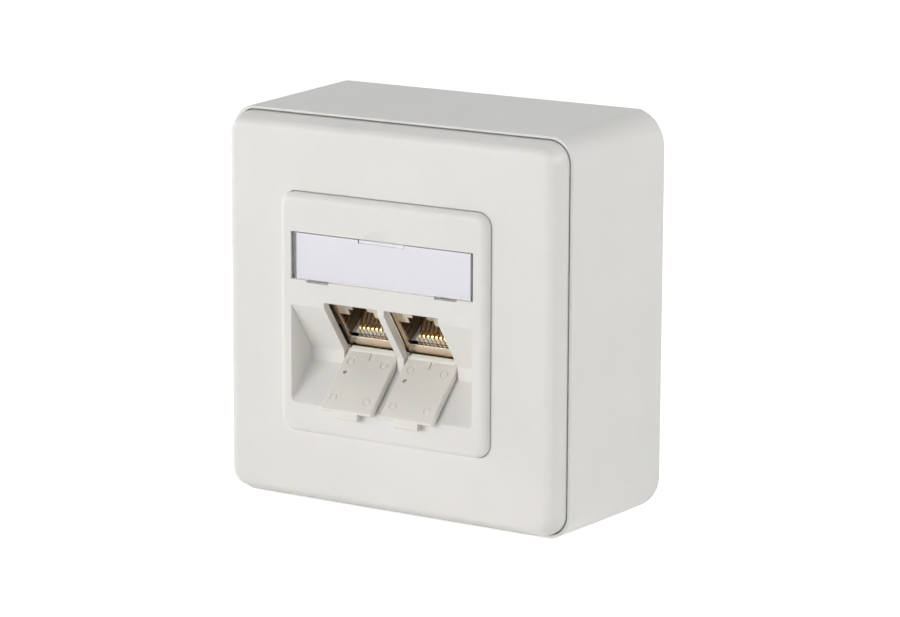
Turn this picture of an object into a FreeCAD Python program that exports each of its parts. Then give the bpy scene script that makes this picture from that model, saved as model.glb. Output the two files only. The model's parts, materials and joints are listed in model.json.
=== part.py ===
import FreeCAD, Part
import math
import os

# Surface mount box with two modular jacks behind hinged shutters.
# Millimetres. X runs to the right, Z up. The wall is the plane Y = 0 and the front faces -Y.
# "out" is a distance from the wall towards the viewer, so a point lies at Y = -out.
# The origin is the centre of the face that lies against the wall.

Vector = FreeCAD.Vector
past = 1.0                 # how far a cut runs past the surface it opens
embed = 0.1                # overlap where a rib or tooth joins its body

# Frame around the centre plate
frame_size = 80.0
frame_gap = 0.25
frame_proud = 4.8          # front face ahead of the rim
frame_side_height = 1.5    # straight side ahead of the rim, before the face rounds off
frame_inset = 1.5          # how far the sloping shoulder leans in
frame_edge_radius = 2.0
frame_wall = 2.0
frame_ledge_drop = 2.5     # from the frame's face down to the ledge that carries the plate
frame_ledge_thickness = 1.4
frame_ledge_width = 1.6
frame_collar_wall = 1.7
frame_rib = 1.2
frame_rib_inset = 0.9      # ribs start this far ahead of the ledge's underside

# Box that is screwed to the wall
housing_depth = 34.6       # wall to front rim
housing_draft_deg = 1.8    # each side wall leans outwards towards the wall
back_radius = 7.7
rim_radius = 5.25
corner_crease_deg = 14.0   # top and bottom meet the corner curves at this angle
housing_wall = 2.2
base_thickness = 2.2
rim_lip = 0.55             # what is left of the wall around the sunk frame
rim_step = 1.8             # depth of the step that the frame sits on
knockout_web = 0.9         # wall left at a cable knock-out
knockout_width = 18.0
knockout_height = 12.0
wall_slot_pitch_x = 40.0
wall_slot_pitch_z = 50.0
wall_slot_length = 9.0
wall_slot_width = 4.2
entry_width = 24.0         # cable entry in the base
entry_height = 17.0
entry_radius = 4.0
entry_centre_z = 21.0
boss_radius = 3.8
gusset_thickness = 1.6
gusset_foot = 6.5          # half height of the gusset across the boss

# Centre plate
plate_size = 50.0
plate_gap = 0.12           # between plate and frame
plate_radius = 3.0
plate_proud = 2.0          # plate's front ahead of the frame's front
plate_edge_radius = 1.6
plate_wall = 1.8
pocket_margin = 3.0        # plate left beside the label pocket
pocket_height = 9.9
pocket_top_z = 17.0
pocket_depth = 1.15
pocket_wall = 1.4
leg_slot_width = 0.9       # slots for the window's legs, at the pocket's ends
leg_slot_depth = 4.0
leg_slot_floor = 1.0
snap_width = 5.4           # snap slots under the label window
snap_pitch = 31.0
snap_height = 0.45
scoop_radius = 5.7         # finger scoop above the label
scoop_depth = 1.0
scoop_rise = 2.2           # how far the scoop reaches above the pocket

# Recess in the centre plate, with a slanted wall that holds the two openings
recess_margin = 3.05       # plate left beside the recess
recess_top_z = 1.75
recess_bottom_z = -18.8
recess_depth = 7.5
recess_floor_deg = 45.0
slant_deg = 36.0           # slanted wall, from the vertical
slant_length = 12.5
recess_wall = 1.6
recess_corner = 0.8
port_pitch = 14.6
opening_width = 13.0
opening_top_z = 2.85       # where the openings cut the plate's front face
opening_reach = 4.8        # each opening is cut this far to both sides of the slanted wall's face
ramp_start = 0.5           # floor in front of the hinge that each opening also clears

# Hinged shutters
shutter_side_gap = 0.3
shutter_thickness = 1.3
shutter_sunk = 0.7         # closed leaf behind the slanted wall's face
shutter_reach = 15.25      # hinge axis to tip
shutter_open_deg = 44.5    # rest angle below the horizontal
shutter_rim = 0.25         # bevel around the inner face
shutter_tip_radius = 0.9   # under the tip
hinge_along = 13.5         # hinge axis, measured down the slanted wall
hinge_inset = 1.4          # hinge axis behind the slanted wall's outer face
barrel_radius = 0.9
barrel_pocket_gap = 0.3
barrel_length = 11.0
pin_radius = 0.45
pin_clearance = 0.05
pin_engagement = 0.65
pin_end_gap = 0.15
hinge_boss_radius = 1.0
hinge_boss_length = 1.8
grip_width = 5.8
grip_drop = 1.7
grip_thickness = 1.0
grip_radius = 0.4
mark_radius = 1.0          # ejector pin rings inside the shutter
mark_core_radius = 0.55
mark_depth = 0.12
mark_offset_x = 4.06
mark_reaches = (3.1, 12.1)
vent_radius = 0.5
vent_depth = 0.8
vent_x = -4.3
vent_reach = 5.9
gate_width = 0.9
gate_x = 0.2
gate_start = 0.75
gate_end = 2.5
gate_depth = 0.25

# Label and its clear window
window_gap = 0.15
window_sunk = 0.05         # window's face behind the plate's face
window_face = 0.7
window_leg = 0.6
window_leg_length = 2.5
label_thickness = 0.25
label_margin = 0.1         # paper inside the leg slots
label_inset = 0.35         # paper below the pocket's top and above its bottom
grip_notch_width = 11.0
grip_notch_height = 0.7
grip_notch_depth = 0.35

# Screws
screw_clearance = 0.05
driver_slot = 0.8
driver_slot_reach = 0.7    # part of the head's radius that the cross slot takes
plate_screw_radius = 1.5
plate_screw_length = 9.0
plate_screw_head_radius = 2.9
plate_screw_sunk = 0.1
plate_screw_slot_depth = 1.0
plate_screw_boss_radius = 4.0
carrier_screw_margin = 5.0 # screw's axis beside the plate
carrier_screw_radius = 1.6
carrier_screw_length = 10.5
carrier_screw_head_radius = 3.0
carrier_screw_head_height = 1.5
carrier_screw_slot_depth = 1.0

# Carrier that holds the jacks
carrier_margin = 9.0       # carrier beside the plate
carrier_corner = 13.0
carrier_thickness = 2.0
carrier_window_gap = 0.4
carrier_window_top_z = 7.2
carrier_slot_width = 3.6
carrier_slot_height = 8.0
cage_wall = 1.6
cage_start = 8.0           # behind the slanted wall's outer face
cage_length = 6.0
cage_arm_start = 4.5
cage_arm_inset = 4.8       # cage's side arms end this far above its bottom
cage_gap = 0.1
wing_top_z = 9.0
wing_bottom_z = -3.0
bridge_depth = 3.0
thread_boss_radius = 3.5
thread_boss_length = 6.0

# Jacks, measured down and behind the slanted wall
jack_width = 14.2
jack_top = 0.3
jack_height = 13.2
jack_setback = 2.6
shell_length = 22.0
shell_wall = 1.0
shell_corner = 0.5
shell_bevel = 0.45         # around the front
port_width = 11.7
port_shoulder = 4.0        # top of the wide part of the port
port_sill = 10.6           # bottom of the port
latch_width = 6.2
latch_top = 2.4
key_width = 3.6
key_top = 1.0
port_length = 13.0
stop_rib = 0.8             # ribs that locate the jack in its cage
insert_sole = 1.1          # plastic under the contacts
insert_back = 1.2
comb_height = 0.9
comb_length = 3.2
comb_gap = 0.05            # each side of a wire
contact_count = 8
contact_pitch = 1.02
contact_width = 0.46
contact_thickness = 0.3
contact_bend = 0.75
contact_rise_deg = 27.0
contact_setback = 0.3      # wires behind the comb's front
contact_end_gap = 0.6      # wire ends ahead of the insert's back wall
contact_tail = 2.0
board_thickness = 1.2
chamber_gap = 0.1          # board and terminals inside the shell
terminal_length = 6.0
terminal_pitch = 2.65
terminal_slot_width = 1.0
terminal_slot_depth = 4.5
terminal_slot_reach = 3.4
blade_thickness = 0.4
blade_inset = 1.4
blade_proud = 1.2          # slot ahead of the blade's tip
blade_fork = 0.3
blade_root = 1.0
cap_length = 11.0
cap_wall = 1.3
cap_corner = 3.0
cable_radius = 3.6

# Stack-up, from the values above
housing_size = frame_size + 2 * (frame_gap + rim_lip)
frame_radius = rim_radius - rim_lip - frame_gap
frame_out = housing_depth + frame_proud
plate_out = frame_out + plate_proud
seat_out = housing_depth - rim_step
ledge_out = frame_out - frame_ledge_drop
carrier_out = ledge_out - frame_ledge_thickness
carrier_back = carrier_out - carrier_thickness
carrier_size = plate_size + 2 * carrier_margin
carrier_screw_x = plate_size / 2 + carrier_screw_margin
pocket_width = plate_size - 2 * pocket_margin
pocket_bottom_z = pocket_top_z - pocket_height
pocket_centre_z = pocket_top_z - pocket_height / 2
pocket_floor_out = plate_out - pocket_depth
recess_width = plate_size - 2 * recess_margin
window_front = plate_out - window_sunk
window_back = window_front - window_face

slant = math.radians(slant_deg)
floor_slope = math.radians(recess_floor_deg)
shutter_width = opening_width - 2 * shutter_side_gap
swing_deg = 90.0 - slant_deg + shutter_open_deg
opening_top_along = (recess_top_z - opening_top_z) * math.cos(slant)
sides = {"left": -1, "right": 1}

jack_bottom = jack_top + jack_height
shell_back = jack_setback + shell_length
chamber_front = jack_setback + port_length
chamber_half = jack_width / 2 - shell_wall
chamber_limits = (jack_top + shell_wall, jack_bottom - shell_wall)
insert_front = jack_setback + shell_wall
terminal_front = chamber_front + board_thickness
terminal_back = terminal_front + terminal_length
cap_back = shell_back + cap_length


def point(x, out, z):
    return Vector(x, -out, z)


def block(x, out, z):
    """Box between pairs of limits."""
    size = (x[1] - x[0], out[1] - out[0], z[1] - z[0])
    return Part.makeBox(*size, point(x[0], out[1], z[0]))


def span(centre, width):
    return centre - width / 2, centre + width / 2


def mirrored(side, near, far):
    """Pair of limits on one side of the middle, smaller value first."""
    return tuple(sorted((side * near, side * far)))


def rounded_outline(width, height, radius, out, centre_z=0.0, crease_deg=0.0):
    """Rectangle with round corners, parallel to the wall. With a crease the curves start at an angle."""
    corners = []
    first = 90 - crease_deg
    for side_x, side_z, start in ((1, 1, 0), (-1, 1, 180 - first), (-1, -1, 180), (1, -1, 360 - first)):
        centre_x = side_x * (width / 2 - radius)
        centre = centre_z + side_z * (height / 2 - radius * math.cos(math.radians(crease_deg)))
        angles = [math.radians(start + turn) for turn in (0, first / 2, first)]
        corners.append([point(centre_x + radius * math.cos(a), out, centre + radius * math.sin(a))
                        for a in angles])
    edges = []
    for here, following in zip(corners, corners[1:] + corners[:1]):
        edges.append(Part.Arc(*here).toShape())
        edges.append(Part.makeLine(here[2], following[0]))
    return Part.Wire(edges)


def slab(width, height, radius, out, centre_z=0.0):
    """Plate with round corners between two distances from the wall."""
    face = Part.Face(rounded_outline(width, height, radius, out[0], centre_z))
    return face.extrude(Vector(0, out[0] - out[1], 0))


def tapered(back, front, crease_deg=0.0):
    """Solid between two outlines, each (size, radius, out)."""
    outlines = [rounded_outline(size, size, radius, out, 0.0, crease_deg)
                for size, radius, out in (back, front)]
    return Part.makeLoft(outlines, True, True)


def across(points, x):
    """Side profile of (out, z) points, drawn through from one X to another."""
    corners = [point(x[0], out, z) for out, z in points]
    face = Part.Face(Part.makePolygon(corners + corners[:1]))
    return face.extrude(Vector(x[1] - x[0], 0, 0))


def rod(radius, length, start, direction):
    return Part.makeCylinder(radius, length, start, direction)


def rod_out(radius, out, x=0.0, z=0.0):
    """Rod square to the wall, between two distances from it."""
    return rod(radius, out[1] - out[0], point(x, out[0], z), Vector(0, -1, 0))


def rod_along_x(radius, x, out, z):
    return rod(radius, x[1] - x[0], point(x[0], out, z), Vector(1, 0, 0))


def obround(length, height, out, x, z):
    """Slot with round ends, its longer side along X or Z."""
    radius = min(length, height) / 2
    run_x, run_z = length / 2 - radius, height / 2 - radius
    half_x, half_z = (run_x, radius) if run_x > run_z else (radius, run_z)
    ends = [rod_out(radius, out, x + turn * run_x, z + turn * run_z) for turn in (-1, 1)]
    return block((x - half_x, x + half_x), out, (z - half_z, z + half_z)).fuse(ends)


def cross_slot(reach, out, x, z):
    """Two crossed slots for the driver, between two distances from the wall."""
    level = block(span(x, 2 * reach), out, span(z, driver_slot))
    upright = block(span(x, driver_slot), out, span(z, 2 * reach))
    return [level, upright]


def slanted(along, behind):
    """(out, z) of a point given down the slanted wall and behind its outer face."""
    out = plate_out - along * math.sin(slant) - behind * math.cos(slant)
    return out, recess_top_z - along * math.cos(slant) + behind * math.sin(slant)


def on_slant(shape, centre_x):
    """Places a shape drawn with Y up the slanted wall and Z out of it."""
    origin = point(centre_x, *slanted(0, 0))
    up = Vector(0, -math.sin(slant), math.cos(slant))
    normal = Vector(0, -math.cos(slant), -math.sin(slant))
    rows = (1, 0, 0, origin.x, 0, up.y, normal.y, origin.y, 0, up.z, normal.z, origin.z, 0, 0, 0, 1)
    placed = shape.copy()
    placed.transformShape(FreeCAD.Matrix(*rows))
    return placed


def slant_block(x, along, behind):
    """Box in the slanted wall's own directions, before on_slant places it."""
    size = (x[1] - x[0], along[1] - along[0], behind[1] - behind[0])
    return Part.makeBox(*size, Vector(x[0], -along[1], -behind[1]))


def edges_along(shape, direction):
    """Straight edges parallel to a direction."""
    found = []
    for edge in shape.Edges:
        if edge.Curve.TypeId == "Part::GeomLine":
            if edge.tangentAt(edge.FirstParameter).cross(direction).Length < 1e-6:
                found.append(edge)
    return found


def edges_at_out(shape, out):
    """Edges that lie wholly at one distance from the wall."""
    return [e for e in shape.Edges if e.BoundBox.YLength < 1e-6 and abs(e.BoundBox.YMax + out) < 1e-6]


def edges_at_behind(shape, behind):
    """Edges of a shape not yet placed that lie wholly at one depth behind the slanted wall's face."""
    return [e for e in shape.Edges if e.BoundBox.ZLength < 1e-6 and abs(e.BoundBox.ZMax + behind) < 1e-6]


hinge_out, hinge_z = slanted(hinge_along, hinge_inset)


def recess_profile():
    """Slanted wall, short wall below it, then the sloping floor."""
    floor_run = recess_depth / math.tan(floor_slope)
    wall_foot = (plate_out - recess_depth, recess_bottom_z + floor_run)
    return [(plate_out, recess_top_z), slanted(slant_length, 0), wall_foot, (plate_out, recess_bottom_z)]


def offset_profile(points, distance):
    """Profile whose sides lie a distance behind those of an open profile."""
    lines = []
    for (out_a, z_a), (out_b, z_b) in zip(points, points[1:]):
        length = math.hypot(out_b - out_a, z_b - z_a)
        normal = ((z_b - z_a) / length, -(out_b - out_a) / length)
        lines.append((normal, normal[0] * out_a + normal[1] * z_a + distance))

    def meet(first, second):
        (a, b), c = first
        (d, e), f = second
        scale = a * e - b * d
        return (c * e - b * f) / scale, (a * f - c * d) / scale

    front = ((1.0, 0.0), plate_out - plate_wall / 2)
    chain = [front] + lines + [front]
    return [meet(first, second) for first, second in zip(chain, chain[1:])]


def make_housing():
    slope = math.tan(math.radians(housing_draft_deg))

    def size_at(out):
        return housing_size + 2 * (housing_depth - out) * slope

    walls = 2 * housing_wall
    cavity_front = housing_depth - rim_step / 2
    outside = tapered((size_at(0), back_radius, 0), (housing_size, rim_radius, housing_depth),
                      corner_crease_deg)
    cavity = tapered((size_at(base_thickness) - walls, back_radius - housing_wall, base_thickness),
                     (size_at(cavity_front) - walls, rim_radius - housing_wall, cavity_front))
    body = outside.cut(cavity)

    # screw bosses with gussets to the side walls
    root = base_thickness / 2
    for side in sides.values():
        boss_x = side * carrier_screw_x
        boss = rod_out(boss_radius, (root, carrier_back), boss_x)
        reach = mirrored(side, carrier_screw_x, housing_size / 2 - housing_wall / 2)
        gusset = block(reach, (root, carrier_back - rim_step), span(0, gusset_thickness))
        foot = block(span(boss_x, gusset_thickness), (root, housing_depth / 2), (-gusset_foot, gusset_foot))
        body = body.fuse([boss, gusset, foot])
        pilot_start = carrier_out - carrier_screw_length - embed
        body = body.cut(rod_out(carrier_screw_radius + screw_clearance, (pilot_start, carrier_out), boss_x))
    step_size = housing_size - 2 * rim_lip
    body = body.cut(slab(step_size, step_size, rim_radius - rim_lip, (seat_out, housing_depth + past)))

    # wall screw slots and cable entry in the base
    through = (-past, base_thickness + past)
    for side_x in sides.values():
        for side_z in sides.values():
            place = (side_x * wall_slot_pitch_x / 2, side_z * wall_slot_pitch_z / 2)
            body = body.cut(obround(wall_slot_length, wall_slot_width, through, *place))
    body = body.cut(slab(entry_width, entry_height, entry_radius, through, entry_centre_z))

    # knock-outs thinned from the inside of the top and bottom walls
    knockout = (base_thickness, base_thickness + knockout_height)
    inner_z = housing_size / 2 - housing_wall - past
    outer_z = size_at(knockout[1]) / 2 - knockout_web
    for side in sides.values():
        body = body.cut(block(span(0, knockout_width), knockout, mirrored(side, inner_z, outer_z)))
    return body.removeSplitter()


def make_frame():
    face_size = frame_size - 2 * frame_inset
    side_out = housing_depth + frame_side_height
    skirt = slab(frame_size, frame_size, frame_radius, (seat_out, side_out))
    shoulder = tapered((frame_size, frame_radius, side_out),
                       (face_size, frame_radius - frame_inset, frame_out))
    outside = skirt.fuse(shoulder).removeSplitter()
    rounded = edges_at_out(outside, frame_out) + edges_at_out(outside, side_out)
    outside = outside.makeFillet(frame_edge_radius, rounded)
    inside_size = frame_size - 2 * frame_wall
    inside_radius = frame_radius - frame_wall
    hollow = slab(inside_size, inside_size, inside_radius, (seat_out - past, side_out))
    top_hollow = tapered((inside_size, inside_radius, side_out),
                         (face_size - 2 * frame_wall, inside_radius - frame_inset, frame_out - frame_wall))
    body = outside.cut(hollow.fuse(top_hollow))

    # collar and ledge that the plate sits in, ribs to the frame's side
    opening = plate_size + 2 * plate_gap
    opening_radius = plate_radius + plate_gap
    collar_size = opening + 2 * frame_collar_wall
    web_out = frame_out - frame_wall / 2
    collar_radius = opening_radius + frame_collar_wall
    body = body.fuse(slab(collar_size, collar_size, collar_radius, (carrier_out, web_out)))
    rib_reach = (collar_size / 2 - frame_collar_wall / 2, frame_size / 2 - frame_wall / 2)
    for turn in range(4):
        for side in sides.values():
            rib = block(rib_reach, (carrier_out + frame_rib_inset, web_out),
                        span(side * plate_size / 4, frame_rib))
            rib.rotate(Vector(0, 0, 0), Vector(0, 1, 0), 90 * turn)
            body = body.fuse(rib)
    body = body.cut(slab(opening, opening, opening_radius, (ledge_out, frame_out + past)))
    ledge = opening - 2 * frame_ledge_width
    ledge_hole = slab(ledge, ledge, opening_radius - frame_ledge_width, (carrier_out - past, frame_out))
    return body.cut(ledge_hole).removeSplitter()


def make_plate():
    outside = slab(plate_size, plate_size, plate_radius, (ledge_out, plate_out))
    outside = outside.makeFillet(plate_edge_radius, edges_at_out(outside, plate_out))
    inside = plate_size - 2 * plate_wall
    hollow = slab(inside, inside, plate_radius - plate_wall, (ledge_out - past, plate_out - plate_wall))
    body = outside.cut(hollow)

    # walls behind the label pocket and the recess, screw boss, hinge bosses
    web_out = plate_out - plate_wall / 2
    tub_half = pocket_width / 2 + pocket_wall
    tub_z = (pocket_bottom_z - pocket_wall, pocket_top_z + pocket_wall)
    added = [block((-tub_half, tub_half), (pocket_floor_out - pocket_wall, web_out), tub_z)]
    slot_inner = pocket_width / 2 - leg_slot_width
    for side in sides.values():
        reach = mirrored(side, slot_inner - pocket_wall, tub_half)
        added.append(block(reach, (plate_out - leg_slot_depth - leg_slot_floor, web_out), tub_z))
    recess = recess_profile()
    recess_half = recess_width / 2 + pocket_wall
    added.append(across(offset_profile(recess, recess_wall), (-recess_half, recess_half)))
    added.append(rod_out(plate_screw_boss_radius, (carrier_out, web_out), 0, pocket_centre_z))
    added.append(rod_along_x(hinge_boss_radius, span(0, port_pitch - opening_width), hinge_out, hinge_z))
    cheek = (port_pitch + opening_width) / 2
    for side in sides.values():
        limits = mirrored(side, cheek, cheek + hinge_boss_length)
        added.append(rod_along_x(hinge_boss_radius, limits, hinge_out, hinge_z))
    body = body.fuse(added)

    # recess, cut to the front, with its floor's lower corners rounded
    front = plate_out + past
    deep = [(front, recess[0][1])] + recess + [(front, recess[-1][1])]
    cutter = across(deep, span(0, recess_width))
    floor_direction = point(0, math.cos(floor_slope), -math.sin(floor_slope))
    body = body.cut(cutter.makeFillet(recess_corner, edges_along(cutter, floor_direction)))

    # one opening, barrel pocket and pair of pin holes for each shutter
    foot_out, foot_z = recess[2]
    fall = math.tan(floor_slope)
    ramp = [(foot_out + ramp_start, foot_z - ramp_start * fall),
            (foot_out - recess_wall, foot_z + recess_wall * fall),
            (hinge_out, hinge_z), (foot_out + recess_wall, hinge_z)]
    pin_span = opening_width + 2 * (pin_engagement + pin_end_gap)
    for side in sides.values():
        centre = side * port_pitch / 2
        limits = span(centre, opening_width)
        opening = slant_block(span(0, opening_width), (opening_top_along, hinge_along),
                              (-opening_reach, opening_reach))
        pocket = rod_along_x(barrel_radius + barrel_pocket_gap, limits, hinge_out, hinge_z)
        pins = rod_along_x(pin_radius + pin_clearance, span(centre, pin_span), hinge_out, hinge_z)
        body = body.cut([on_slant(opening, centre), pocket, across(ramp, limits), pins])

    # label pocket with its leg slots and snap slots, finger scoop and countersunk hole
    pocket_z = (pocket_bottom_z, pocket_top_z)
    body = body.cut(block(span(0, pocket_width), (pocket_floor_out, front), pocket_z))
    for side in sides.values():
        leg_slot = block(mirrored(side, slot_inner, pocket_width / 2),
                         (plate_out - leg_slot_depth, front), pocket_z)
        snap_slot = block(span(side * snap_pitch / 2, snap_width),
                          (pocket_floor_out - pocket_wall - past, front),
                          (pocket_bottom_z - snap_height, pocket_bottom_z))
        body = body.cut([leg_slot, snap_slot])
    ball_radius = (scoop_radius ** 2 + scoop_depth ** 2) / (2 * scoop_depth)
    ball_centre = point(0, plate_out - scoop_depth + ball_radius, pocket_top_z + scoop_rise - scoop_radius)
    body = body.cut(Part.makeSphere(ball_radius, ball_centre))
    return body.cut(plate_screw_shape(screw_clearance, front)).removeSplitter()


def plate_screw_shape(clearance, front):
    """Countersunk screw, grown by a clearance and run on to the front where it is a hole."""
    head_radius = plate_screw_head_radius + clearance
    shank_radius = plate_screw_radius + clearance
    head_out = pocket_floor_out - plate_screw_sunk
    cone_height = head_radius - shank_radius
    cone_start = point(0, head_out - cone_height, pocket_centre_z)
    shape = rod_out(shank_radius, (head_out - plate_screw_length, head_out), 0, pocket_centre_z)
    shape = shape.fuse(Part.makeCone(shank_radius, head_radius, cone_height, cone_start, Vector(0, -1, 0)))
    if front > head_out:
        shape = shape.fuse(rod_out(head_radius, (head_out, front), 0, pocket_centre_z))
    return shape.removeSplitter()


def make_plate_screw():
    head_out = pocket_floor_out - plate_screw_sunk
    slots = cross_slot(plate_screw_head_radius * driver_slot_reach,
                       (head_out - plate_screw_slot_depth, head_out + past), 0, pocket_centre_z)
    return plate_screw_shape(0, head_out).cut(slots)


def make_label():
    width = pocket_width - 2 * (leg_slot_width + label_margin)
    return block(span(0, width), (pocket_floor_out, pocket_floor_out + label_thickness),
                 (pocket_bottom_z + label_inset, pocket_top_z - label_inset))


def make_window():
    """Clear face with a leg at each end, a grip notch above and two snap lugs below."""
    half = pocket_width / 2 - window_gap
    top = pocket_top_z - window_gap
    bottom = pocket_bottom_z + window_gap
    face_middle = window_back + window_face / 2
    body = block((-half, half), (window_back, window_front), (bottom, top))
    added = []
    for side in sides.values():
        leg = mirrored(side, half - window_leg, half)
        added.append(block(leg, (window_back - window_leg_length, face_middle), (bottom, top)))
        lug_z = (pocket_bottom_z - snap_height + window_gap, bottom + window_face / 2)
        lug_x = span(side * snap_pitch / 2, snap_width - 2 * window_gap)
        added.append(block(lug_x, (window_back, face_middle), lug_z))
    notch = block(span(0, grip_notch_width), (window_front - grip_notch_depth, window_front + past),
                  (top - grip_notch_height, top + past))
    return body.fuse(added).cut(notch).removeSplitter()


def make_shutter(side):
    """Built closed in the slanted opening, then swung open about its pins."""
    half = shutter_width / 2
    inner = shutter_sunk + shutter_thickness
    tip = shutter_reach - hinge_along
    leaf = slant_block((-half, half), (-tip, hinge_along), (shutter_sunk, inner))
    leaf = leaf.makeChamfer(shutter_rim, edges_at_behind(leaf, inner))
    outer_tip = [e for e in edges_at_behind(leaf, shutter_sunk) if e.BoundBox.YMin > tip - 1e-3]
    leaf = leaf.makeFillet(shutter_tip_radius, outer_tip)

    # ejector rings, vent and gate mark on the inner face
    upright = Vector(0, 0, 1)
    marks = []
    for reach in mark_reaches:
        for mark_side in sides.values():
            centre = Vector(mark_side * mark_offset_x, reach - hinge_along, -inner)
            ring = rod(mark_radius, mark_depth, centre, upright)
            marks.append(ring.cut(rod(mark_core_radius, mark_depth, centre, upright)))
    marks.append(rod(vent_radius, vent_depth, Vector(vent_x, vent_reach - hinge_along, -inner), upright))
    marks.append(slant_block(span(gate_x, gate_width), (hinge_along - gate_end, hinge_along - gate_start),
                             (inner - gate_depth, inner + past)))
    leaf = leaf.cut(marks)

    pin_span = opening_width + 2 * pin_engagement
    turned = []
    for radius, length in ((barrel_radius, barrel_length), (pin_radius, pin_span)):
        turned.append(rod(radius, length, Vector(-length / 2, -hinge_along, -hinge_inset), Vector(1, 0, 0)))
    body = on_slant(leaf.fuse(turned), side * port_pitch / 2)
    body.rotate(point(0, hinge_out, hinge_z), Vector(1, 0, 0), swing_deg)

    # grip lip, which hangs straight down from the tip of the open leaf
    slope = math.radians(shutter_open_deg)
    rise = inner - hinge_inset
    lip_out = hinge_out + (rise - shutter_rim) * math.sin(slope) + shutter_reach * math.cos(slope)
    lip_top = hinge_z + (rise - shutter_rim) * math.cos(slope) - shutter_reach * math.sin(slope)
    lip = block(span(side * port_pitch / 2, grip_width), (lip_out - grip_thickness, lip_out),
                (lip_top - grip_drop, lip_top))
    lower = [e for e in edges_at_out(lip, lip_out) if e.BoundBox.ZMax < lip_top - grip_drop / 2]
    return body.fuse(lip.makeFillet(grip_radius, lower)).removeSplitter()


def make_carrier():
    half = carrier_size / 2
    cut = half - carrier_corner
    quarter = [(half, cut), (cut, half), (-cut, half), (-half, cut)]
    outline = quarter + [(-x, -z) for x, z in quarter]
    corners = [point(x, carrier_back, z) for x, z in outline]
    plate = Part.Face(Part.makePolygon(corners + corners[:1])).extrude(Vector(0, -carrier_thickness, 0))
    window_half = recess_width / 2 + pocket_wall + carrier_window_gap
    foot = offset_profile(recess_profile(), recess_wall)[-1][1] - carrier_window_gap
    through = (carrier_back - past, carrier_out + past)
    window = block((-window_half, window_half), through, (foot, carrier_window_top_z))

    # cage around both jacks, joined to the plate by wings and a bridge
    cage_half = port_pitch / 2 + jack_width / 2 + cage_gap
    cage_end = cage_start + cage_length
    top = jack_top - cage_gap
    bottom = jack_bottom + cage_gap
    cage_x = (-cage_half - cage_wall, cage_half + cage_wall)
    outer = slant_block(cage_x, (top - cage_wall, bottom + cage_wall), (cage_start, cage_end))
    arms = slant_block(cage_x, (top + cage_wall, bottom - cage_arm_inset), (cage_arm_start, cage_end))
    inner = slant_block((-cage_half, cage_half), (top, bottom), (0, 2 * cage_end))
    added = [on_slant(outer.fuse(arms), 0)]
    for side in sides.values():
        reach = mirrored(side, cage_half + cage_wall / 2, window_half + cage_wall)
        added.append(block(reach, (carrier_back - carrier_thickness, carrier_back),
                           (wing_bottom_z, wing_top_z)))
    bridge_z = (carrier_window_top_z, wing_top_z)
    added.append(block((-cage_half, cage_half), (carrier_back - bridge_depth, carrier_back), bridge_z))
    thread_boss = (carrier_out - thread_boss_length, carrier_out)
    added.append(rod_out(thread_boss_radius, thread_boss, 0, pocket_centre_z))
    body = plate.cut(window).fuse(added)
    body = body.cut([on_slant(inner, 0), plate_screw_shape(screw_clearance, plate_out)])
    for side in sides.values():
        slot_x = side * carrier_screw_x
        body = body.cut(obround(carrier_slot_width, carrier_slot_height, through, slot_x, 0))
    return body.removeSplitter()


def make_carrier_screws():
    screws = []
    head_front = carrier_out + carrier_screw_head_height
    for side in sides.values():
        x = side * carrier_screw_x
        head = rod_out(carrier_screw_head_radius, (carrier_out, head_front), x)
        shank = rod_out(carrier_screw_radius, (carrier_out - carrier_screw_length, carrier_out), x)
        slots = cross_slot(carrier_screw_head_radius * driver_slot_reach,
                           (head_front - carrier_screw_slot_depth, head_front + past), x, 0)
        screws.append(head.fuse(shank).cut(slots))
    return Part.makeCompound(screws)


def make_shell(centre_x):
    """Die-cast front shell of a jack, with its stepped port."""
    half = jack_width / 2
    body = slant_block((-half, half), (jack_top, jack_bottom), (jack_setback, shell_back))
    body = body.makeFillet(shell_corner, edges_along(body, Vector(0, 0, 1)))
    body = body.makeChamfer(shell_bevel, edges_at_behind(body, jack_setback))
    ports = ((port_width, port_shoulder, port_sill), (latch_width, latch_top, port_shoulder + embed),
             (key_width, key_top, latch_top + embed))
    cuts = []
    for width, top, bottom in ports:
        cuts.append(slant_block(span(0, width), (top, bottom), (jack_setback - past, chamber_front + past)))
    sole = (port_sill - past, port_sill + insert_sole)
    cuts.append(slant_block(span(0, port_width), sole, (insert_front, chamber_front + past)))
    cuts.append(slant_block((-chamber_half, chamber_half), chamber_limits,
                            (chamber_front, shell_back + past)))
    body = body.cut(cuts)
    ribs = []
    for top, bottom in ((jack_top - stop_rib, jack_top + embed),
                        (jack_bottom - embed, jack_bottom + stop_rib)):
        for start in (cage_start - stop_rib, cage_start + cage_length):
            ribs.append(slant_block(span(0, half), (top, bottom), (start, start + stop_rib)))
    return on_slant(body.fuse(ribs).removeSplitter(), centre_x)


def make_insert(centre_x):
    """Plastic contact carrier: sole, back wall and comb."""
    sole = slant_block(span(0, port_width), (port_sill, port_sill + insert_sole),
                       (insert_front, chamber_front))
    back = slant_block(span(0, port_width), (port_shoulder, port_sill),
                       (chamber_front - insert_back, chamber_front))
    teeth = []
    tooth_width = contact_pitch - contact_width - 2 * comb_gap
    for index in range(contact_count + 1):
        middle = (index - contact_count / 2) * contact_pitch
        teeth.append(slant_block(span(middle, tooth_width), (port_sill - comb_height, port_sill + embed),
                                 (insert_front, insert_front + comb_length)))
    return on_slant(sole.fuse([back] + teeth).removeSplitter(), centre_x)


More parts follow.
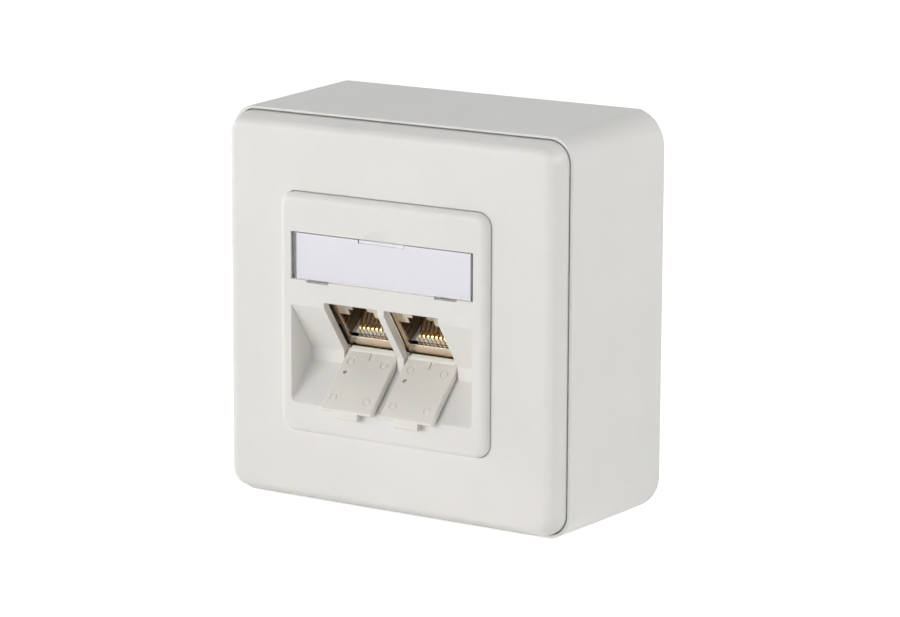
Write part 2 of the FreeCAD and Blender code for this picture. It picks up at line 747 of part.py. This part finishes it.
def make_contacts(centre_x):
    """Spring wires that rise from the comb towards the back of the port."""
    rise = math.radians(contact_rise_deg)
    bend_behind = insert_front + contact_setback + contact_bend
    bend_along = port_sill - contact_bend
    run = chamber_front - insert_back - contact_end_gap - bend_behind

    def side_edges(radius, x):
        """Sloping run, bend and tail of one face of the wire."""

        def spot(angle, behind=0.0, along=0.0):
            place = (bend_behind + radius * math.cos(angle) + behind,
                     bend_along + radius * math.sin(angle) + along)
            return Vector(x, -place[1], -place[0])

        top = -math.pi / 2 - rise
        foot = math.pi / 2
        bend = Part.Arc(spot(top), spot(math.pi), spot(foot)).toShape()
        sloping = Part.makeLine(spot(top, run, -run * math.tan(rise)), spot(top))
        tail = Part.makeLine(spot(foot), spot(foot, contact_tail))
        return [sloping, bend, tail]

    wires = []
    for index in range(contact_count):
        x = (index - (contact_count - 1) / 2) * contact_pitch - contact_width / 2
        outer = side_edges(contact_bend, x)
        inner = side_edges(contact_bend - contact_thickness, x)
        ends = [Part.makeLine(outer[0].Vertexes[0].Point, inner[0].Vertexes[0].Point),
                Part.makeLine(outer[2].Vertexes[1].Point, inner[2].Vertexes[1].Point)]
        face = Part.Face(Part.Wire(Part.__sortEdges__(outer + inner + ends)))
        wires.append(on_slant(face.extrude(Vector(contact_width, 0, 0)), centre_x))
    return Part.makeCompound(wires)


def in_chamber(behind):
    """Block that fills the shell's rear chamber but for a small gap."""
    half = chamber_half - chamber_gap
    return slant_block((-half, half), (chamber_limits[0] + chamber_gap, chamber_limits[1] - chamber_gap),
                       behind)


def make_board(centre_x):
    return on_slant(in_chamber((chamber_front, terminal_front)), centre_x)


def terminal_slots():
    """Centres of the wire slots, four on each long side, and the way each one opens inwards."""
    places = []
    for row, inwards in ((chamber_limits[0], 1), (chamber_limits[1], -1)):
        for index in range(contact_count // 2):
            places.append(((index - (contact_count / 2 - 1) / 2) * terminal_pitch, row, inwards))
    return places


def make_terminals(centre_x):
    """Block with a slot for each wire, open at its long sides."""
    body = in_chamber((terminal_front, terminal_back))
    for x, row, inwards in terminal_slots():
        limits = mirrored(inwards, inwards * row - past, inwards * row + terminal_slot_reach)
        body = body.cut(slant_block(span(x, terminal_slot_width), limits,
                                    (terminal_back - terminal_slot_depth, terminal_back + past)))
    return on_slant(body.removeSplitter(), centre_x)


def make_blades(centre_x):
    """Forked blades that stand in the wire slots."""
    blades = []
    seat = terminal_back - terminal_slot_depth
    for x, row, inwards in terminal_slots():
        middle = row + inwards * (blade_inset + blade_thickness / 2)
        blade = slant_block(span(x, terminal_slot_width), span(middle, blade_thickness),
                            (seat, terminal_back - blade_proud))
        fork = slant_block(span(x, blade_fork), span(middle, blade_thickness + past),
                           (seat + blade_root, terminal_back))
        blades.append(on_slant(blade.cut(fork), centre_x))
    return Part.makeCompound(blades)


def make_cap(centre_x):
    """Die-cast rear hood with the cable outlet."""
    half = jack_width / 2
    body = slant_block((-half, half), (jack_top, jack_bottom), (shell_back, cap_back))
    rear = [e for e in edges_along(body, Vector(1, 0, 0)) if e.BoundBox.ZMax < embed - cap_back]
    body = body.makeFillet(cap_corner, rear)
    hollow = slant_block((-half + cap_wall, half - cap_wall), (jack_top + cap_wall, jack_bottom - cap_wall),
                         (shell_back - past, cap_back - cap_wall))
    middle = Vector(0, -(jack_top + jack_bottom) / 2, -cap_back - past)
    outlet = rod(cable_radius, cap_length / 2, middle, Vector(0, 0, 1))
    return on_slant(body.cut([hollow, outlet]).removeSplitter(), centre_x)


parts = {
    "surface_housing": make_housing,
    "front_frame": make_frame,
    "centre_plate": make_plate,
    "plate_screw": make_plate_screw,
    "label_insert": make_label,
    "label_window": make_window,
    "module_carrier": make_carrier,
    "carrier_screws": make_carrier_screws,
}
jack_parts = {
    "jack_shell": make_shell,
    "jack_insert": make_insert,
    "jack_contacts": make_contacts,
    "jack_board": make_board,
    "jack_terminals": make_terminals,
    "jack_blades": make_blades,
    "jack_cap": make_cap,
}

os.makedirs("parts", exist_ok=True)
for name, make in parts.items():
    make().exportStep("parts/" + name + ".step")
for side_name, side in sides.items():
    make_shutter(side).exportStep("parts/shutter_" + side_name + ".step")
    for name, make in jack_parts.items():
        make(side * port_pitch / 2).exportStep("parts/" + name + "_" + side_name + ".step")
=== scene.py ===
import json
import math

import bpy
from mathutils import Matrix, Vector


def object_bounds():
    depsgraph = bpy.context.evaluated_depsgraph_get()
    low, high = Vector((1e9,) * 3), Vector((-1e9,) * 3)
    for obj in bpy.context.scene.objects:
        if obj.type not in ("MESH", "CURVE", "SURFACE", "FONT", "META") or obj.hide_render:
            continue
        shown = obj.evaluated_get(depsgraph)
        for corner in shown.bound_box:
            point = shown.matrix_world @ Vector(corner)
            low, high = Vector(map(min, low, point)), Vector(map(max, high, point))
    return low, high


# A surface mount box with two modular jacks behind hinged shutters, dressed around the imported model.
# Metres. The wall is the plane Y = 0, the front faces -Y and Z is up.
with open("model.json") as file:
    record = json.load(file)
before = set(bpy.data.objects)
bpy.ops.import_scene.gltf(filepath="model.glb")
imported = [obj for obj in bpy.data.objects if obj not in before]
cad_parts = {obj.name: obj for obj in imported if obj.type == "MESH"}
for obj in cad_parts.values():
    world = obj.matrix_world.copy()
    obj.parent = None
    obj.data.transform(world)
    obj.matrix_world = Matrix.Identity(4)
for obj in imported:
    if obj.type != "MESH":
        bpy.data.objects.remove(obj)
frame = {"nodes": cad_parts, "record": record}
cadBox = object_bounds()
nodes = frame["nodes"]
mm = 0.001

camera = {
    "azimuth": 32.46,
    "elevation": 11.82,
    "roll": 0.22,
    "distance": 0.79376,
    "aimRight": -0.008174,
    "aimUp": -0.003838,
    "lens": 150.32,
    "sensor": 36.0,
    "near": 0.01,
}


# Right, up and back for a camera or lamp that looks at the origin from these angles in degrees
def aimAxes(azimuth, elevation):
    a, e = math.radians(azimuth), math.radians(elevation)
    back = Vector((math.sin(a) * math.cos(e), -math.cos(a) * math.cos(e), math.sin(e)))
    right = Vector((math.cos(a), math.sin(a), 0))
    return right, back.cross(right), back


def placeFacing(obj, right, up, back, place):
    pose = Matrix((right, up, back)).transposed().to_4x4()
    pose.translation = place
    obj.matrix_world = pose


def addCamera(values):
    right, up, back = aimAxes(values["azimuth"], values["elevation"])
    aim = values["aimRight"] * right + values["aimUp"] * up
    turn = Matrix.Rotation(math.radians(values["roll"]), 3, back)
    bpy.ops.object.camera_add()
    obj = bpy.context.object
    obj.name = "viewCamera"
    obj.data.lens = values["lens"]
    obj.data.sensor_width = values["sensor"]
    obj.data.clip_start = values["near"]
    placeFacing(obj, turn @ right, turn @ up, back, aim + back * values["distance"])
    bpy.context.scene.camera = obj


addCamera(camera)
print("camera set")


# A socket that takes part in Python arithmetic: each operator adds a Math node
class Wire:
    def __init__(self, tree, socket):
        self.tree = tree
        self.socket = socket

    def maths(self, operation, first, second):
        return self.tree.node("ShaderNodeMath", {"operation": operation}, {0: first, 1: second})

    def __add__(self, other):
        return self.maths("ADD", self, other)

    __radd__ = __add__

    def __sub__(self, other):
        return self.maths("SUBTRACT", self, other)

    def __rsub__(self, other):
        return self.maths("SUBTRACT", other, self)

    def __mul__(self, other):
        return self.maths("MULTIPLY", self, other)

    __rmul__ = __mul__

    def atLeast(self, other):
        return self.maths("MAXIMUM", self, other)

    def under(self, other):
        return self.maths("LESS_THAN", self, other)

    def size(self):
        return self.maths("ABSOLUTE", self, 0.0)


class Tree:
    def __init__(self, data):
        self.data = data
        self.data.nodes.clear()

    def node(self, kind, settings, inputs, output=0):
        made = self.data.nodes.new(kind)
        for key, value in settings.items():
            setattr(made, key, value)
        for key, value in inputs.items():
            if isinstance(value, Wire):
                self.data.links.new(value.socket, made.inputs[key])
            else:
                made.inputs[key].default_value = value
        return Wire(self, made.outputs[output]) if len(made.outputs) else made


def newMaterial(name):
    material = bpy.data.materials.new(name)
    material.use_nodes = True
    return material, Tree(material.node_tree)


def surface(tree, shader):
    tree.node("ShaderNodeOutputMaterial", {}, {"Surface": shader})


def coordinates(tree):
    return tree.node("ShaderNodeTexCoord", {}, {}, "Object")


def noise(tree, place, scale, detail, roughness):
    sockets = {"Vector": place, "Scale": scale, "Detail": detail, "Roughness": roughness}
    return tree.node("ShaderNodeTexNoise", {}, sockets, "Fac")


# The part of a noise's range that it mostly keeps to
noiseLow, noiseHigh = 0.3, 0.7


def spread(tree, value, low, high):
    sockets = {"Value": value, "From Min": noiseLow, "From Max": noiseHigh, "To Min": low, "To Max": high}
    return tree.node("ShaderNodeMapRange", {}, sockets)


# A Mix node has its two colours on sockets 6 and 7 and gives its colour on output 2
def tint(tree, factor, dark, light):
    ends = [end if isinstance(end, Wire) else (*end, 1) for end in (dark, light)]
    return tree.node("ShaderNodeMix", {"data_type": "RGBA"}, {0: factor, 6: ends[0], 7: ends[1]}, 2)


# A fine grain on edges that the Bevel node rounds
def grainNormal(tree, grain, values):
    soft = tree.node("ShaderNodeBevel", {"samples": values["edgeSamples"]}, {"Radius": values["edge"]})
    return tree.node("ShaderNodeBump", {}, {
        "Strength": values["relief"], "Distance": values["reliefHeight"], "Height": grain, "Normal": soft})


# Moulded plastic: faint clouds in the colour, a spark-eroded grain and light that spreads inside
def plastic(name, values):
    material, tree = newMaterial(name)
    place = coordinates(tree)
    cloud = spread(tree, noise(tree, place, *values["cloud"]), 0.0, 1.0)
    grain = noise(tree, place, *values["grain"])
    bump = grainNormal(tree, grain, values)
    surface(tree, tree.node("ShaderNodeBsdfPrincipled", {}, {
        "Base Color": tint(tree, cloud, values["dark"], values["light"]),
        "Roughness": spread(tree, grain, *values["rough"]),
        "Normal": bump,
        "IOR": values["ior"],
        "Specular IOR Level": values["specular"],
        "Subsurface Weight": values["depth"],
        "Subsurface Radius": values["reachByColour"],
        "Subsurface Scale": values["reach"],
    }))
    return material


# cloud and grain are a noise's scale, detail and roughness
shellPlastic = {
    "cloud": (55, 3.0, 0.5), "grain": (3200, 2.0, 0.6), "relief": 0.14, "reliefHeight": 0.04 * mm,
    "edge": 0.25 * mm, "edgeSamples": 6,
    "dark": (0.816, 0.799, 0.767), "light": (0.842, 0.825, 0.795), "rough": (0.33, 0.43),
    "ior": 1.45, "specular": 0.4,
    "depth": 0.35, "reach": 0.9 * mm, "reachByColour": (1.0, 0.72, 0.5),
}
flapPlastic = dict(
    shellPlastic, edge=0.1 * mm, dark=(0.82, 0.8, 0.745), light=(0.848, 0.827, 0.77),
    rough=(0.4, 0.48), depth=0.3, reach=0.4 * mm)
insertPlastic = dict(
    shellPlastic, edge=0.05 * mm, dark=(0.68, 0.67, 0.64), light=(0.76, 0.75, 0.72),
    rough=(0.3, 0.4), depth=0.6, reach=1.5 * mm)
terminalPlastic = dict(
    shellPlastic, edge=0.1 * mm, dark=(0.5, 0.48, 0.42), light=(0.55, 0.53, 0.47))
labelPaper = dict(
    shellPlastic, edge=0.02 * mm, relief=0.05, dark=(0.825, 0.81, 0.855), light=(0.845, 0.83, 0.875),
    rough=(0.7, 0.8), depth=0.0)
boardLacquer = dict(
    shellPlastic, edge=0.02 * mm, dark=(0.03, 0.12, 0.05), light=(0.04, 0.15, 0.07), depth=0.0)
materials = {
    "white_plastic": plastic("shellPlastic", shellPlastic),
    "shutter_plastic": plastic("flapPlastic", flapPlastic),
    "insert_plastic": plastic("insertPlastic", insertPlastic),
    "terminal_plastic": plastic("terminalPlastic", terminalPlastic),
    "label_paper": plastic("labelPaper", labelPaper),
    "circuit_board": plastic("boardLacquer", boardLacquer),
}


# Mask for the painted shade inside the ports: 1 a little behind the mouths of the two ports and 0 outside
# them
def portShadeMask(tree, place, port):
    x, y, z = [tree.node("ShaderNodeSeparateXYZ", {}, {0: place}, axis) for axis in range(3)]
    sine, cosine = math.sin(port["slant"]), math.cos(port["slant"])
    deep = y + port["front"]
    low = port["top"] - z
    behind = deep * cosine - low * sine
    along = deep * sine + low * cosine
    beside = (x.size() - port["pitch"] / 2).size().under(port["halfWidth"])
    within = (along - port["middle"]).size().under(port["halfHeight"])
    sockets = {"Value": behind, "From Min": port["start"], "From Max": port["end"]}
    return tree.node("ShaderNodeMapRange", {}, sockets) * beside * within


# The slanted wall's angle and top edge, then a port's opening across, along and behind that wall
ports = {
    "slant": math.radians(36), "front": 41.4 * mm, "top": 1.75 * mm,
    "pitch": 14.6 * mm, "halfWidth": 6.3 * mm, "middle": 6.6 * mm, "halfHeight": 5.9 * mm,
    "start": 2.9 * mm, "end": 3.4 * mm,
}


# Cast, stamped or drawn metal: clouds in colour and gloss over a very fine grain, and where given a dark
# brown painted shade inside the ports
def metal(name, values):
    material, tree = newMaterial(name)
    place = coordinates(tree)
    cloud = spread(tree, noise(tree, place, *values["cloud"]), 0.0, 1.0)
    grain = noise(tree, place, *values["grain"])
    bump = grainNormal(tree, grain, values)
    colour = tint(tree, cloud, values["dark"], values["light"])
    # Painted shade: a dark brown laid into the colour a little behind the port mouths, where the deep
    # ports would shade the metal
    if "paintedPortShade" in values:
        colour = tint(tree, portShadeMask(tree, place, ports), colour, values["paintedPortShade"])
    surface(tree, tree.node("ShaderNodeBsdfPrincipled", {}, {
        "Base Color": colour,
        "Metallic": 1.0,
        "Roughness": spread(tree, cloud, *values["rough"]),
        "Normal": bump,
    }))
    return material


metalGrain = {
    "cloud": (300, 4.0, 0.5), "grain": (5000, 3.0, 0.6), "relief": 0.02, "reliefHeight": 0.03 * mm,
    "edge": 0.2 * mm, "edgeSamples": 6,
}
# The nickelled zinc has a dark brown painted shade inside the two ports
nickelledZinc = dict(
    metalGrain, dark=(0.84, 0.73, 0.61), light=(0.9, 0.79, 0.67), rough=(0.1, 0.18),
    paintedPortShade=(0.3, 0.21, 0.135))
zincSteel = dict(metalGrain, dark=(0.6, 0.62, 0.64), light=(0.68, 0.7, 0.72), rough=(0.22, 0.34))
goldWire = dict(
    metalGrain, edge=0.05 * mm, dark=(0.9, 0.62, 0.26), light=(1.0, 0.76, 0.38), rough=(0.1, 0.18))
tinnedBronze = dict(metalGrain, dark=(0.7, 0.68, 0.62), light=(0.78, 0.76, 0.7), rough=(0.22, 0.34))
materials["zinc_diecast"] = metal("nickelledZinc", nickelledZinc)
materials["screw_steel"] = metal("zincSteel", zincSteel)
materials["gold_contact"] = metal("goldWire", goldWire)
materials["blade_bronze"] = metal("tinnedBronze", tinnedBronze)


# Clear label window that lets lamp light and soft light straight through to the paper
def clearPlastic(name, values):
    material, tree = newMaterial(name)
    shader = tree.node("ShaderNodeBsdfPrincipled", {}, {
        "Base Color": values["colour"],
        "Roughness": values["rough"],
        "IOR": values["ior"],
        "Transmission Weight": 1.0,
    })
    clear = tree.node("ShaderNodeBsdfTransparent", {}, {"Color": values["passing"]})
    shadow = tree.node("ShaderNodeLightPath", {}, {}, "Is Shadow Ray")
    diffuse = tree.node("ShaderNodeLightPath", {}, {}, "Is Diffuse Ray")
    passes = shadow.atLeast(diffuse)
    surface(tree, tree.node("ShaderNodeMixShader", {}, {0: passes, 1: shader, 2: clear}))
    return material


clearWindow = {
    "colour": (0.97, 0.98, 0.99, 1), "passing": (0.985, 0.985, 0.99, 1), "rough": 0.02, "ior": 1.49,
}
materials["clear_window"] = clearPlastic("clearWindow", clearWindow)

for part in frame["record"]["subparts"]:
    obj = nodes[part["node"]]
    obj.data.materials.clear()
    obj.data.materials.append(materials[part["material_slot"]])
print("materials on", len(nodes), "nodes")


# 1 for rays that should see a white background and 0 for those that light the model
def backdropRay(tree):
    cameraRay, glossyRay, clearRay = [
        tree.node("ShaderNodeLightPath", {}, {}, name)
        for name in ("Is Camera Ray", "Is Glossy Ray", "Is Transmission Ray")]
    return cameraRay.atLeast(glossyRay).atLeast(clearRay)


def addFloor(values):
    bpy.ops.mesh.primitive_plane_add(size=values["size"], location=(0, 0, cadBox[0][2]))
    floor = bpy.context.object
    floor.name = "floor"
    material, tree = newMaterial("paleFloor")
    base = tree.node("ShaderNodeBsdfDiffuse", {}, {"Color": values["colour"]})
    glow = tree.node("ShaderNodeEmission", {}, {"Strength": backdropRay(tree) * values["glow"]})
    surface(tree, tree.node("ShaderNodeAddShader", {}, {0: base, 1: glow}))
    floor.data.materials.append(material)


floorValues = {"size": 6.0, "colour": (0.96, 0.96, 0.96, 1), "glow": 0.76}
addFloor(floorValues)


def addWorld(values):
    world = bpy.data.worlds.new("studio")
    bpy.context.scene.world = world
    world.use_nodes = True
    tree = Tree(world.node_tree)
    seen = backdropRay(tree)
    background = tree.node("ShaderNodeBackground", {}, {
        "Color": tint(tree, seen, values["light"], values["backdrop"]),
        "Strength": seen + (1 - seen) * values["strength"],
    })
    tree.node("ShaderNodeOutputWorld", {}, {"Surface": background})


worldValues = {"light": (0.87, 0.93, 1.0), "strength": 0.235, "backdrop": (1, 1, 1)}
addWorld(worldValues)


def addLamp(name, values):
    right, up, back = aimAxes(values["azimuth"], values["elevation"])
    bpy.ops.object.light_add(type="AREA")
    lamp = bpy.context.object
    lamp.name = name
    lamp.data.shape = "RECTANGLE"
    lamp.data.size = values["width"]
    lamp.data.size_y = values["height"]
    lamp.data.energy = values["power"]
    lamp.data.color = values["tint"]
    placeFacing(lamp, right, up, back, back * values["distance"])


lamps = {
    "keyLamp": {
        "azimuth": -17, "elevation": 11, "distance": 0.9, "width": 0.6, "height": 0.36,
        "power": 3.8, "tint": (1.0, 0.987, 0.975),
    },
    "sideLamp": {
        "azimuth": 93, "elevation": 29, "distance": 1.1, "width": 0.5, "height": 0.4,
        "power": 4.95, "tint": (1.0, 0.985, 0.955),
    },
    "fillLamp": {
        "azimuth": -78, "elevation": 8, "distance": 1.0, "width": 0.6, "height": 0.34,
        "power": 2.4, "tint": (1.0, 0.96, 0.9),
    },
    "backLamp": {
        "azimuth": 172, "elevation": 8, "distance": 1.1, "width": 0.6, "height": 0.3,
        "power": 1.7, "tint": (1.0, 1.0, 1.0),
    },
}
for lampName, lampValues in lamps.items():
    addLamp(lampName, lampValues)
bpy.context.scene.view_settings.view_transform = "Standard"
print("stage and lamps set")
